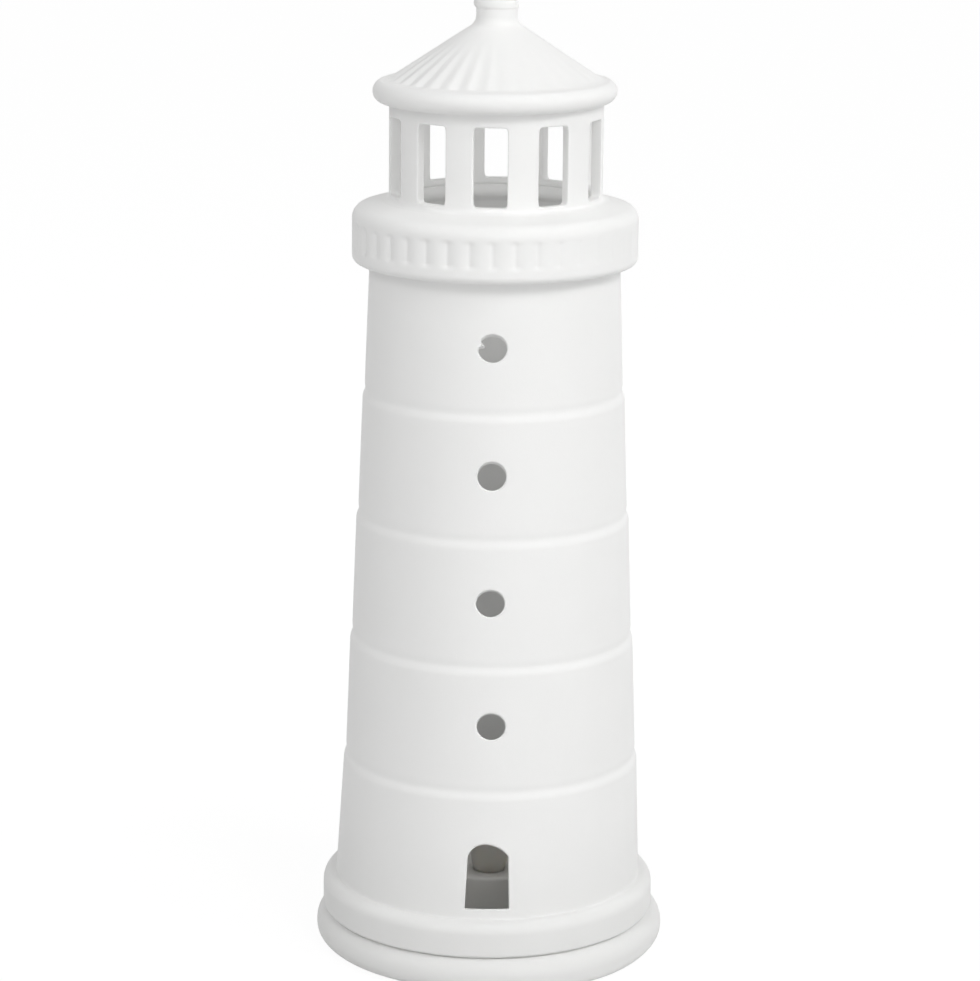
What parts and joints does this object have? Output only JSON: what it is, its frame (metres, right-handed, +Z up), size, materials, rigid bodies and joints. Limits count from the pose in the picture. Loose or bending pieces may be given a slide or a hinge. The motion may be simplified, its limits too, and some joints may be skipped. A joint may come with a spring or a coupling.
{
  "type": "lighthouse light",
  "caption": "Hollow matte porcelain lighthouse with banded tower, open lantern room and ribbed roof, standing on a base dish over a battery tealight",
  "frame": {"origin": "middle of the base dish's underside, on the surface it stands on", "axes": "+Z up along the tower's axis; the door and the round windows face -Y; +X is to the right as seen from the door side"},
  "size_m": [0.092, 0.092, 0.2525],
  "materials": {
    "porcelain": "unglazed bisque, matte",
    "cup_plastic": "moulded, satin",
    "flame_plastic": "translucent, frosted",
    "led_epoxy": "clear epoxy",
    "spring_steel": "nickel plated",
    "cell_steel": "satin",
    "board": "solder mask",
    "black_plastic": "moulded, satin"
  },
  "bodies": {
    "dish": {"base_dish": "porcelain"},
    "tower": {"tower_shaft": "porcelain", "gallery": "porcelain", "lantern_room": "porcelain", "roof": "porcelain", "finial": "porcelain"},
    "tealight": {"tealight_cup": "cup_plastic", "tealight_base": "cup_plastic", "tealight_flame": "flame_plastic", "led_bulb": "led_epoxy", "led_leads": "spring_steel", "negative_contact": "spring_steel", "positive_contact": "spring_steel", "coin_cell": "cell_steel", "circuit_board": "board", "flicker_chip": "black_plastic", "switch_body": "black_plastic"},
    "knob": {"switch_knob": "black_plastic"},
    "cover": {"battery_cover": "cup_plastic"}
  },
  "joints": [
    {"name": "tower_lift", "type": "slide", "parent": "dish", "child": "tower", "axis": [0, 0, 1], "range_m": [0, 0.045]},
    {"name": "tealight_lift", "type": "slide", "parent": "dish", "child": "tealight", "axis": [0, 0, 1], "range_m": [0, 0.02]},
    {"name": "switch_slide", "type": "slide", "parent": "tealight", "child": "knob", "axis": [0, 1, 0], "range_m": [0, 0.002]},
    {"name": "cover_turn", "type": "hinge", "parent": "tealight", "child": "cover", "pos_m": [0, 0, 0.0055], "axis": [0, 0, 1], "range_deg": [0, 40]}
  ]
}
